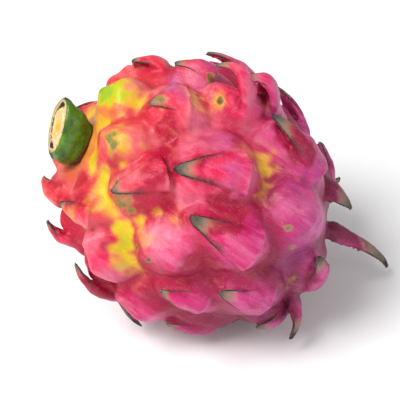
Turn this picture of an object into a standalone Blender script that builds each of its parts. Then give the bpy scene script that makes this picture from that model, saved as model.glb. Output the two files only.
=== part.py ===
"""A whole dragon fruit (red pitaya), as picked, lying on its side on a small flat spot.

Three pieces: the fruit itself, which is one grown body with its leathery bracts,
the chunk of green cactus stem that was cut away with it, and the withered base of
the flower in the navel at the far end.

Units are metres, +Z is up. The origin is the middle of the flat spot that the fruit
rests on. The fruit is first made upright in its own frame, stem end up, and is then
laid over.
"""
import math

import bmesh
import bpy
import numpy as np
from mathutils import Matrix, Vector

# ---------------------------------------------------------------- driving dimensions
BODY_LENGTH = 0.118          # stem pole to flower pole, without the bracts
BODY_DIAMETER = 0.095        # across the middle, in the valleys between the bracts
REST_SPOT_DIAMETER = 0.030   # flat spot under the fruit
STEM_RISE = 42.0             # degrees that the stem end points above the floor
STEM_HEADING = 188.0         # compass direction of the stem end, degrees from +X
NAVEL_DIAMETER = 0.020
NAVEL_DEPTH = 0.010
STUB_LENGTH = 0.0225         # chunk of cactus stem along its rib
STUB_WIDTH = 0.016           # and across it
STUB_HEIGHT = 0.0115         # that stands clear of the fruit in its middle
STUB_SUNK = 0.004            # depth of the chunk's root in the fruit
STUB_TURN = 22.0             # longitude that the rib points to
STUB_AT = (-0.0075, -0.0020) # its root sits a little below the fruit's own pole
STUB_LEAN = 0.15             # it leans back towards the upper side
STUB_SLANT = (0.31, 0.23)    # slope of the cut, thick at the top and thin at the bottom
STUB_RINGS = [               # share of the height, length and width, squareness, share of slant
    (0.00, 0.66, 0.70, 0.95, 0.0),
    (0.30, 0.86, 0.95, 0.90, 0.2),
    (0.60, 0.97, 1.00, 0.90, 0.6),
    (0.90, 1.00, 0.96, 0.95, 1.0),
    (1.00, 0.92, 0.82, 0.95, 1.0),
]
FLOWER_BASE_DIAMETER = 0.011 # withered flower base in the navel
FLOWER_BASE_LENGTH = 0.014
FLOWER_BASE_TURN = 20.0      # longitude of its wider way
FLOWER_BASE_SUNK = 0.0015    # depth of its root under the navel's floor
GAP = 0.0003                 # clearance between pieces that touch

# ---------------------------------------------------------------- how a bract is shaped
# One swelling, along the line from its top to its tip and across it
BACK_FALL = 2.2              # power of the long fall behind the top
FRONT_FALL = 1.7             # power of the steep fall in front of the tip
FRONT_START = 0.85           # share of the way from top to tip where that fall begins
FRONT_SLOPE = 0.0055         # length of the steep fall
ROUND_RIDGE = 2.4            # power of the fall to the sides at the top, which is rounded
SHARP_RIDGE = 1.3            # and at the tip, where the ridge is sharp
RIDGE_DROP = 0.2             # how much of the height is lost from the top to the tip
WIDER_TOP = 1.1              # width at the top and
NARROWER_TIP = 0.9           # at the tip, as shares of the given width
MOUND_BLEND = 3.0            # how sharply neighbouring swellings meet
# The free blade on a swelling, in millimetres where it is a size
STEEP_ARCH = 6.0             # a blade that arches more than this stands up as a horn
BLADE_LEAD = 0.35            # how far behind the top a lying blade starts, as a share
HORN_LEAD = 0.08             # and an upright horn
BLADE_ROOT_DEPTH = 2.5
BLADE_WIDTH_SHARE = 0.8
BLADE_TAPER = 0.8
BLADE_TIP_HALF_WIDTH = 1.2
BLADE_ROOT_THICKNESS = 7.0
BLADE_TIP_THICKNESS = 2.4
BLADE_DROOP = 0.35           # how far the margins hang, as a share of the half width
# The long straps of the flower end, in the same way
STRAP_ROOT_DEPTH = 2.0
STRAP_TAPER = 0.9
STRAP_TIP_HALF_WIDTH = 1.3
STRAP_ROOT_THICKNESS = 4.2
STRAP_TIP_THICKNESS = 2.4
STRAP_DROOP = 0.2

# Mesh fineness of this plain model
RINGS = 72
SEGMENTS = 108
OUTLINE_CORNERS = 20
SKIN_VOXEL = 0.0014
SKIN_KEEP = 0.12             # share of the remeshed skin's triangles that is kept
SKIN_EVENNESS = 0.5
FLOOR_SIDE = 0.4             # block that flattens the resting spot
FLOOR_DEPTH = 0.05
MM = 0.001

# Each bract: the place of the top of its swelling and of its tip (latitude from the
# fruit's equator towards the stem, longitude round it; 0 is the upper side and
# negative turns to the front), then in millimetres the swelling's height, the height
# of the tip above the body, half the width, the length of the long slope behind the
# swelling, and how far the blade arches above the line from swelling to tip.
BRACTS = {
    # round the stem, worn and blunt
    "stem_upper":       ((67, 6), (75, 30), 8.0, 5.5, 9.5, 8.0, 0.0),
    "stem_front":       ((60, -57), (70, -57), 8.5, 5.0, 8.5, 9.0, 0.0),
    "stem_back":        ((58, 42), (68, 44), 7.0, 4.5, 8.0, 9.0, 0.0),
    "stem_lower":       ((64, 160), (72, 158), 6.0, 4.0, 8.0, 10.0, 0.0),
    # first full ring
    "shoulder_back":    ((48, 34), (57, 38), 6.5, 9.5, 9.0, 10.0, 0.5),
    "shoulder_top":     ((46, -16), (55, -25), 9.0, 8.5, 9.5, 11.0, 1.0),
    "shoulder_front":   ((43, -66), (51, -88), 8.5, 8.0, 8.5, 10.0, 1.0),
    "shoulder_low":     ((51, -122), (56, -143), 6.5, 7.0, 7.0, 9.0, 1.0),
    "shoulder_left":    ((58, -160), (58, 176), 6.5, 9.0, 6.5, 10.0, 1.0),
    "shoulder_far":     ((48, 110), (58, 112), 7.5, 8.0, 9.0, 13.0, 1.0),
    # second ring
    "upper_back":       ((34, 14), (45, 16), 8.0, 8.5, 8.0, 12.0, 1.0),
    "upper_front":      ((21, -45), (38, -57), 9.5, 9.5, 11.0, 14.0, 1.0),
    "upper_low":        ((19, -88), (29, -95), 8.5, 7.0, 10.0, 12.0, 0.0),
    "upper_under":      ((30, -128), (42, -125), 8.5, 7.0, 6.6, 11.0, 0.0),
    "upper_left":       ((37, -164), (45, -168), 5.0, 10.0, 4.0, 12.0, 1.0),
    "upper_far":        ((26, 150), (38, 150), 7.0, 8.0, 9.0, 14.0, 1.5),
    "upper_rear":       ((26, 78), (38, 80), 8.0, 9.0, 10.0, 14.0, 2.0),
    # middle
    "middle_horn":      ((20, -6), (34, -3), 9.0, 16.0, 8.0, 12.0, 8.0),
    "middle_front":     ((5, -68), (25, -70), 9.5, 9.0, 10.5, 15.0, 1.0),
    "middle_low":       ((0, -104), (12, -108), 6.0, 6.0, 9.0, 15.0, 1.0),
    "middle_foot":      ((4, -136), (16, -132), 8.0, 6.0, 9.0, 15.0, 0.0),
    "middle_under":     ((14, -151), (34, -139), 6.0, 10.0, 5.5, 13.0, 1.0),
    "middle_left":      ((2, 176), (15, 176), 4.0, 5.0, 8.0, 14.0, 0.5),
    "middle_far":       ((4, 118), (18, 118), 7.0, 9.0, 10.0, 16.0, 2.0),
    "middle_back":      ((8, 40), (24, 42), 8.5, 11.0, 10.0, 16.0, 2.5),
    # towards the flower
    "flower_curl":      ((10, 0), (24, -6), 8.0, 15.0, 8.0, 12.0, 7.0),
    "flower_fold":      ((-7, -19), (13, -15), 9.5, 11.5, 11.0, 16.0, 1.0),
    "flower_cheek":     ((-14, -42), (0, -42), 9.5, 5.0, 12.0, 17.0, 0.0),
    "flower_low":       ((-18, -88), (-2, -90), 7.0, 7.0, 10.0, 16.0, 1.0),
    "flower_under":     ((-22, -132), (-8, -134), 4.0, 5.0, 9.0, 14.0, 0.5),
    "flower_left":      ((-26, 168), (-12, 168), 3.5, 4.5, 9.0, 14.0, 0.5),
    "flower_far":       ((-20, 128), (-6, 126), 6.0, 9.0, 10.0, 16.0, 2.0),
    "flower_rear":      ((-16, 84), (2, 82), 8.0, 11.0, 10.0, 17.0, 2.5),
    "flower_back":      ((-24, 42), (-6, 40), 8.0, 12.0, 10.0, 17.0, 3.0),
    # last ring before the navel
    "end_top":          ((-42, 22), (-28, 22), 6.0, 7.0, 9.0, 13.0, 1.0),
    "end_front":        ((-40, -62), (-27, -55), 7.0, 9.0, 9.0, 14.0, 1.5),
    "end_back":         ((-42, 64), (-26, 62), 7.0, 12.0, 9.0, 14.0, 3.0),
    "end_far":          ((-44, 108), (-30, 105), 6.0, 9.0, 9.0, 13.0, 2.0),
    "end_low":          ((-46, -102), (-34, -106), 4.5, 6.0, 9.0, 12.0, 1.0),
}
# The long withered bracts of the flower end, given in the same way, but as plain
# tapering straps: place of the root, place of the tip, height of the tip, half width
# at the root, and how far the middle arches.
STRAPS = {
    "strap_top":        ((-26, -12), (-46, -12), 9.0, 8.0, 2.0),
    "strap_front":      ((-50, -24), (-77, 8), 38.0, 3.0, 0.0),
    "strap_back":       ((-46, 84), (-36, 80), 18.0, 7.0, 4.0),
    "strap_far":        ((-56, 40), (-52, 48), 22.0, 6.0, 3.0),
    "strap_near":       ((-47, -80), (-44, -100), 15.0, 6.0, 3.0),
    "strap_low":        ((13, -158), (-6, -148), 10.0, 2.0, 2.0),
}


# ---------------------------------------------------------------- the fruit's frame
def unit(vector):
    return vector / np.linalg.norm(vector, axis=-1, keepdims=True)


def direction(latitude, longitude):
    """Direction on the round that the body is stretched from."""
    lat = math.radians(latitude)
    lon = math.radians(longitude)
    return np.array([math.cos(lat) * math.cos(lon), math.cos(lat) * math.sin(lon), math.sin(lat)])


HALF_AXES = np.array([BODY_DIAMETER / 2, BODY_DIAMETER / 2, BODY_LENGTH / 2])


def on_body(directions):
    """Points of the plain body and its outward normals there."""
    points = directions * HALF_AXES
    return points, unit(directions / HALF_AXES)


def turned(start, end, share):
    """Direction at a share of the way from start to end; it may run on past either."""
    angle = math.acos(float(np.clip(start @ end, -1.0, 1.0)))
    side = unit(end - start * (start @ end))
    return start * math.cos(angle * share) + side * math.sin(angle * share)


def swelling(directions, crest_at, tip_at, height, half_width, back_length):
    """Height of one bract's swelling over the body: steep to the tip, long behind."""
    crest_way = direction(*crest_at)
    tip_way = direction(*tip_at)
    points, _ = on_body(directions)
    crest, normal = on_body(crest_way)
    tip, _ = on_body(tip_way)
    reach = float(np.linalg.norm(tip - crest))
    ahead = unit((tip - crest) - normal * ((tip - crest) @ normal))
    across = np.cross(normal, ahead)
    offset = points - crest
    along = offset @ ahead
    aside = offset @ across
    share = np.clip(along / reach, 0.0, 1.0)
    behind = np.exp(-(np.clip(-along, 0.0, None) / back_length) ** BACK_FALL)
    beyond = np.exp(-(np.clip(along - FRONT_START * reach, 0.0, None) / FRONT_SLOPE) ** FRONT_FALL)
    width = half_width * (WIDER_TOP + (NARROWER_TIP - WIDER_TOP) * share)
    sharpness = ROUND_RIDGE + (SHARP_RIDGE - ROUND_RIDGE) * share
    fall_along = behind * beyond * (1.0 - RIDGE_DROP * share)
    fall_aside = np.exp(-(np.abs(aside) / width) ** sharpness)
    same_side = directions @ crest_way > 0.0
    return height * fall_along * fall_aside * same_side


def skin_height(directions):
    """Height of the skin over the plain body, all swellings together."""
    total = np.zeros(len(directions))
    for crest_at, tip_at, height, _, half_width, back_length, _ in BRACTS.values():
        one = swelling(directions, crest_at, tip_at, height * MM, half_width * MM, back_length * MM)
        total += (one / MM) ** MOUND_BLEND
    return total ** (1.0 / MOUND_BLEND) * MM


def navel(directions):
    """Depth of the round hollow at the flower end."""
    points, _ = on_body(directions)
    share = np.hypot(points[:, 0], points[:, 1]) / (NAVEL_DIAMETER / 2)
    return NAVEL_DEPTH * np.exp(-np.clip(share, 0.0, 3.0) ** 4) * (directions[:, 2] < 0.0)


# ---------------------------------------------------------------- mesh building
def add_body(mesh):
    """The swollen body as one closed ball of rings between two poles."""
    ways = [(90.0, 0.0)]
    for ring in range(1, RINGS):
        latitude = 90.0 - 180.0 * ring / RINGS
        ways += [(latitude, 360.0 * step / SEGMENTS) for step in range(SEGMENTS)]
    ways.append((-90.0, 0.0))
    directions = np.array([direction(*way) for way in ways])
    points, normals = on_body(directions)
    height = skin_height(directions)
    height -= navel(directions)
    places = points + normals * height[:, None]
    corners = [mesh.verts.new(place) for place in places]
    for step in range(SEGMENTS):
        follow = (step + 1) % SEGMENTS
        mesh.faces.new((corners[0], corners[1 + step], corners[1 + follow]))
        for ring in range(RINGS - 2):
            upper = 1 + ring * SEGMENTS
            lower = upper + SEGMENTS
            mesh.faces.new((corners[upper + step], corners[lower + step],
                            corners[lower + follow], corners[upper + follow]))
        last = 1 + (RINGS - 2) * SEGMENTS
        mesh.faces.new((corners[last + step], corners[-1], corners[last + follow]))


def add_loft(mesh, rings):
    """Skin a row of rings of points, with a flat face on each end."""
    rows = [[mesh.verts.new(corner) for corner in ring] for ring in rings]
    for first, second in zip(rows, rows[1:]):
        count = len(first)
        for step in range(count):
            follow = (step + 1) % count
            mesh.faces.new((first[step], first[follow], second[follow], second[step]))
    mesh.faces.new(list(reversed(rows[0])))
    mesh.faces.new(rows[-1])


def arch_heights(start, middle, end, share):
    """Height along a blade, on a smooth arch through three guide heights."""
    rest = 1.0 - share
    return start * rest ** 2 + 2.0 * middle * rest * share + end * share ** 2


def add_blade(mesh, spine, sideways, half_widths, thicknesses, droop, across=4):
    """A closed blade along a spine: lens-shaped sections whose margins droop."""
    rings = []
    ahead = unit(np.gradient(spine, axis=0))
    for place, tangent, side, half, thick in zip(spine, ahead, sideways, half_widths, thicknesses):
        lateral = unit(side - tangent * (side @ tangent))
        outward = np.cross(tangent, lateral)
        ring = []
        shares = [2.0 * step / across - 1.0 for step in range(across + 1)]
        for share in shares:
            lift = thick * (0.5 - 0.35 * share ** 2) - droop * half * share ** 2
            ring.append(place + lateral * half * share + outward * lift)
        for share in reversed(shares):
            lift = -thick * (0.5 - 0.35 * share ** 2) - droop * half * share ** 2
            ring.append(place + lateral * half * share + outward * lift)
        rings.append(ring)
    add_loft(mesh, rings)


def add_bract(mesh, crest_at, tip_at, crest_height, tip_height, half_width, arch, stations=8):
    """The free blade of one bract, from inside its swelling out to its tip."""
    crest_way = direction(*crest_at)
    tip_way = direction(*tip_at)
    shares = np.linspace(0.0, 1.0, stations)
    lead = BLADE_LEAD if arch < STEEP_ARCH else HORN_LEAD
    ways = np.array([turned(crest_way, tip_way, share - lead * (1.0 - share)) for share in shares])
    points, normals = on_body(ways)
    start = crest_height - BLADE_ROOT_DEPTH
    middle = max(crest_height, tip_height) + arch
    heights = arch_heights(start, middle, tip_height, shares) * MM
    spine = points + normals * heights[:, None]
    sideways = np.cross(normals, unit(np.gradient(points, axis=0)))
    wide = half_width * BLADE_WIDTH_SHARE
    half_widths = (wide * (1.0 - shares) ** BLADE_TAPER + BLADE_TIP_HALF_WIDTH) * MM
    thinning = BLADE_ROOT_THICKNESS - BLADE_TIP_THICKNESS
    thicknesses = (BLADE_ROOT_THICKNESS - thinning * shares ** BLADE_TAPER) * MM
    add_blade(mesh, spine, sideways, half_widths, thicknesses, BLADE_DROOP)


def add_strap(mesh, root_at, tip_at, tip_height, half_width, arch, stations=12):
    """One long withered strap of the flower end."""
    root_way = direction(*root_at)
    tip_way = direction(*tip_at)
    shares = np.linspace(0.0, 1.0, stations)
    ways = np.array([turned(root_way, tip_way, share) for share in shares])
    points, normals = on_body(ways)
    line = arch_heights(-STRAP_ROOT_DEPTH, tip_height / 2.0, tip_height, shares)
    heights = (line + arch * np.sin(math.pi * shares)) * MM
    spine = points + normals * heights[:, None]
    sideways = np.cross(normals, unit(np.gradient(points, axis=0)))
    half_widths = (half_width * (1.0 - shares) ** STRAP_TAPER + STRAP_TIP_HALF_WIDTH) * MM
    thinning = STRAP_ROOT_THICKNESS - STRAP_TIP_THICKNESS
    thicknesses = (STRAP_ROOT_THICKNESS - thinning * shares) * MM
    add_blade(mesh, spine, sideways, half_widths, thicknesses, STRAP_DROOP)


def oval_ring(height, half_length, half_width, turn, squareness, slope=(0.0, 0.0), at=(0.0, 0.0)):
    """A rounded outline across the fruit's axis; slope tilts it out of level."""
    count = OUTLINE_CORNERS
    ring = []
    angle = math.radians(turn)
    for step in range(count):
        around = 2.0 * math.pi * step / count
        cosine, sine = math.cos(around), math.sin(around)
        long = half_length * math.copysign(abs(cosine) ** squareness, cosine)
        wide = half_width * math.copysign(abs(sine) ** squareness, sine)
        x = long * math.cos(angle) - wide * math.sin(angle)
        y = long * math.sin(angle) + wide * math.cos(angle)
        ring.append((at[0] + x, at[1] + y, height + slope[0] * x + slope[1] * y))
    return ring


def add_stub(mesh, margin=0.0):
    """The chunk of green stem: a low rounded wedge with a slanting cut face."""
    foot = BODY_LENGTH / 2 - STUB_SUNK
    long = STUB_LENGTH / 2 + margin
    wide = STUB_WIDTH / 2 + margin
    tall = STUB_SUNK + STUB_HEIGHT
    rings = []
    for share, length, width, squareness, slant in STUB_RINGS:
        lifted = tall * share
        at = (STUB_AT[0] + STUB_LEAN * lifted, STUB_AT[1])
        slope = (STUB_SLANT[0] * slant, STUB_SLANT[1] * slant)
        grown = margin * (2.0 * share - 1.0)
        rings.append(oval_ring(foot + lifted + grown, long * length, wide * width, STUB_TURN,
                               squareness, slope, at))
    add_loft(mesh, rings)


def add_flower_base(mesh, margin=0.0):
    """What is left of the flower: a short withered tube, wider at its torn mouth."""
    root = -(BODY_LENGTH / 2 - NAVEL_DEPTH) + FLOWER_BASE_SUNK
    radius = FLOWER_BASE_DIAMETER / 2
    long = FLOWER_BASE_LENGTH
    mouth = (radius * 1.35 + margin, radius * 1.2 + margin)
    waist = (radius * 1.1 + margin, radius + margin)
    seat = (radius * 0.8 + margin, radius * 0.8 + margin)
    add_loft(mesh, [
        oval_ring(root - long - margin, *mouth, FLOWER_BASE_TURN, 1.0),
        oval_ring(root - long * 0.6, *waist, FLOWER_BASE_TURN, 1.0),
        oval_ring(root + margin, *seat, FLOWER_BASE_TURN, 1.0),
    ])


# ---------------------------------------------------------------- laying it down
def lying_matrix():
    """From the upright fruit to the fruit on its resting spot."""
    rise = math.radians(STEM_RISE)
    heading = math.radians(STEM_HEADING)
    axis = np.array([math.cos(rise) * math.cos(heading), math.cos(rise) * math.sin(heading), math.sin(rise)])
    upper = unit(np.array([0.0, 0.0, 1.0]) - axis * axis[2])
    side = np.cross(axis, upper)
    turn = np.stack([upper, side, axis], axis=1)
    downward = turn.T @ np.array([0.0, 0.0, -1.0])
    lowest_way = unit(downward * HALF_AXES)
    lowest = turn @ (lowest_way * HALF_AXES)
    flattening = (REST_SPOT_DIAMETER / 2) ** 2 / BODY_DIAMETER
    matrix = Matrix(turn.tolist()).to_4x4()
    matrix.translation = Vector((-lowest[0], -lowest[1], -lowest[2] - flattening))
    return matrix


def clear_scene():
    for item in list(bpy.data.objects):
        bpy.data.objects.remove(item, do_unlink=True)


def material(name, colour, roughness):
    made = bpy.data.materials.new(name)
    made.use_nodes = True
    shader = made.node_tree.nodes["Principled BSDF"]
    shader.inputs["Base Color"].default_value = (*colour, 1.0)
    shader.inputs["Roughness"].default_value = roughness
    return made


def grow_together(mesh):
    """Replace overlapping shapes by their one outer skin, evenly meshed."""
    bmesh.ops.recalc_face_normals(mesh, faces=mesh.faces)
    data = bpy.data.meshes.new("shapes")
    mesh.to_mesh(data)
    rough = bpy.data.objects.new("shapes", data)
    bpy.context.scene.collection.objects.link(rough)
    remesh = rough.modifiers.new("skin", "REMESH")
    remesh.mode = "VOXEL"
    remesh.voxel_size = SKIN_VOXEL
    graph = bpy.context.evaluated_depsgraph_get()
    skin = bpy.data.meshes.new_from_object(rough.evaluated_get(graph))
    bpy.data.objects.remove(rough, do_unlink=True)
    mesh.clear()
    mesh.from_mesh(skin)
    keep_largest(mesh)


def keep_largest(mesh):
    """Drop every loose shell but the one with the most corners."""
    left = set(mesh.verts)
    shells = []
    while left:
        shell = set()
        edge_of_search = [left.pop()]
        while edge_of_search:
            corner = edge_of_search.pop()
            shell.add(corner)
            for edge in corner.link_edges:
                other = edge.other_vert(corner)
                if other in left:
                    left.remove(other)
                    edge_of_search.append(other)
        shells.append(shell)
    shells.sort(key=len)
    for shell in shells[:-1]:
        bmesh.ops.delete(mesh, geom=list(shell), context="VERTS")


def finish_object(name, mesh, finish):
    """Turn a bmesh in the fruit's frame into a named object, laid down."""
    bmesh.ops.recalc_face_normals(mesh, faces=mesh.faces)
    data = bpy.data.meshes.new(name)
    mesh.to_mesh(data)
    mesh.free()
    data.transform(lying_matrix())
    data.shade_smooth()
    if finish:
        data.materials.append(finish)
    item = bpy.data.objects.new(name, data)
    bpy.context.scene.collection.objects.link(item)
    return item


def floor_cutter():
    """A block below the floor, which flattens whatever would go through it."""
    bpy.ops.mesh.primitive_cube_add(size=1.0)
    block = bpy.context.object
    block.name = "floor_cutter"
    block.data.transform(Matrix.Diagonal((FLOOR_SIDE, FLOOR_SIDE, FLOOR_DEPTH, 1.0)))
    block.data.transform(Matrix.Translation((0.0, 0.0, -FLOOR_DEPTH / 2)))
    return as_cutter(block)


def as_cutter(item):
    item.hide_render = True
    item.display_type = "WIRE"
    return item


def seat_cutter(name, add_shape):
    """The room that a piece takes up in the fruit, a little wider than the piece."""
    mesh = bmesh.new()
    add_shape(mesh, GAP)
    return as_cutter(finish_object(name, mesh, None))


def cut_away(item, name, cutter):
    cut = item.modifiers.new(name, "BOOLEAN")
    cut.operation = "DIFFERENCE"
    cut.solver = "EXACT"
    cut.object = cutter


def make_fruit():
    """Body, bracts and straps, grown together into one skin."""
    mesh = bmesh.new()
    add_body(mesh)
    for crest_at, tip_at, crest_height, tip_height, half_width, _, arch in BRACTS.values():
        if arch > 0.0:
            add_bract(mesh, crest_at, tip_at, crest_height, tip_height, half_width, arch)
    for root_at, tip_at, tip_height, half_width, arch in STRAPS.values():
        add_strap(mesh, root_at, tip_at, tip_height, half_width, arch)
    grow_together(mesh)
    fruit = finish_object("dragon_fruit", mesh, material("pink_rind", (0.72, 0.06, 0.16), 0.45))
    even = fruit.modifiers.new("even_margins", "SMOOTH")
    even.factor = SKIN_EVENNESS
    even.iterations = 2
    thinner = fruit.modifiers.new("plain_faces", "DECIMATE")
    thinner.ratio = SKIN_KEEP
    cut_away(fruit, "resting_spot", floor_cutter())
    cut_away(fruit, "stem_seat", seat_cutter("stub_room", add_stub))
    cut_away(fruit, "flower_seat", seat_cutter("flower_room", add_flower_base))


def make_piece(name, add_shape, finish):
    mesh = bmesh.new()
    add_shape(mesh)
    finish_object(name, mesh, finish)


def main():
    clear_scene()
    make_fruit()
    make_piece("stem_stub", add_stub, material("green_stem", (0.10, 0.22, 0.03), 0.35))
    make_piece("flower_base", add_flower_base, material("withered_flower", (0.42, 0.30, 0.17), 0.85))


main()
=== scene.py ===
"""Finished looks of a whole dragon fruit (red pitaya) that lies on its side.

Laid out as an add-on and run as a script: it registers its settings, operators and
panel, then grows the rind with its bracts, the dried bract margins, the chunk of cactus
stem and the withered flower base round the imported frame, and sets a plain studio.
Units are metres, +Z is up. Shapes are made in the fruit's own upright frame (stem end
up, longitude 0 on the upper side) and laid over with the same matrix as the solids.
"""
import math

import bpy
import numpy as np
from bpy.props import FloatProperty, FloatVectorProperty, PointerProperty
from bpy.types import Operator, Panel, PropertyGroup
from mathutils import Matrix, Vector, noise
from mathutils.bvhtree import BVHTree
from mathutils.kdtree import KDTree


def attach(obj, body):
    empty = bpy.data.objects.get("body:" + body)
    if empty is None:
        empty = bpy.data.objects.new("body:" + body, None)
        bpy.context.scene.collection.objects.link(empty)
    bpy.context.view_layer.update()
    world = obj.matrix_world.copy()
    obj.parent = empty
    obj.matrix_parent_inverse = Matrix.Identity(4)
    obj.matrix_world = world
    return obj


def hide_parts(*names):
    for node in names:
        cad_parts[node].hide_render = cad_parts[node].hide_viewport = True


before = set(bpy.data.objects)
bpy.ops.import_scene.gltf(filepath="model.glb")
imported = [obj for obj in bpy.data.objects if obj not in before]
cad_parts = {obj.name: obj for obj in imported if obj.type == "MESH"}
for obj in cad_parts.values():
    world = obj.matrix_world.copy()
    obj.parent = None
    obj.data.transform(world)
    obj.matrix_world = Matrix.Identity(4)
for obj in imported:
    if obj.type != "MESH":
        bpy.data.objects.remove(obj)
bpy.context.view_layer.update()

bl_info = {
    "name": "Whole Dragon Fruit",
    "version": (1, 0, 0),
    "blender": (4, 5, 0),
    "location": "View3D > Sidebar > Dragon Fruit",
    "description": "Grows a whole dragon fruit with leathery bracts round its packed solids",
    "category": "Object",
}

MM = 0.001

# ---------------- sizes shared with the solids
BODY_LENGTH = 0.118
BODY_DIAMETER = 0.095
REST_SPOT_DIAMETER = 0.030
STEM_RISE = 42.0
STEM_HEADING = 188.0
NAVEL_DIAMETER = 0.020
NAVEL_DEPTH = 0.010
STUB_LENGTH = 0.0225
STUB_WIDTH = 0.016
STUB_HEIGHT = 0.0115
STUB_SUNK = 0.004
STUB_TURN = 22.0
STUB_AT = (-0.0075, -0.0020)
STUB_LEAN = 0.15
STUB_SLANT = (0.31, 0.23)
CUT_RINGS = (0.95, 0.90, 0.85, 0.80, 0.76, 0.72, 0.66, 0.58, 0.46, 0.32, 0.18, 0.07)
FLOWER_BASE_DIAMETER = 0.011
FLOWER_BASE_LENGTH = 0.014
FRONT_SLOPE = 0.0055
HALF_AXES = np.array([BODY_DIAMETER / 2, BODY_DIAMETER / 2, BODY_LENGTH / 2])

# ---------------- how the skin is formed
MERGE_POWER = 7                        # how crisply one swelling takes over from the next
GROOVE_DEPTH, BARE_DEPTH = 0.15, 1.2   # below the swellings, in millimetres
BALL_RINGS, BALL_SEGMENTS = 190, 280
BLADE_STATIONS, STRAP_STATIONS, BLADE_ACROSS = 30, 40, 12
RAISED_ARCH = 6.0                      # a blade arched more than this stands clear of its swelling
MARGIN_START = 0.30                    # share of a blade where its dried margin begins
STRAP_DRYING = 0.45                    # straps wither along most of their length
STUB_SIDES, FLOWER_SIDES = 72, 60
FLOWER_SUNK = 0.0015
SMOOTH_ROUNDS = 60                     # how widely the ground round a place is averaged
UNEVEN = ((0.007, 1, 0.55), (0.0030, 2, 0.28))   # size of the lumps, seed, height in millimetres
BLADE_NEAR, BLADE_FADE = 0.0009, 0.0016          # a blade's values hold, and fade, this far off it
CORD_LIFT, CORD_LOWEST = 0.00005, 0.0004         # of the dried margins, over the rind and the floor

# ---------------- studio
FLOOR_DROP = 0.0001
SENSOR_WIDTH = 36.0
# name, place from the middle of the fruit, side, setting of its power
LAMPS = (("key", (-0.75, -0.55, 1.25), 0.75, "key_power"), ("fill", (1.3, -1.1, 0.7), 1.2, "fill_power"))

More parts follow.
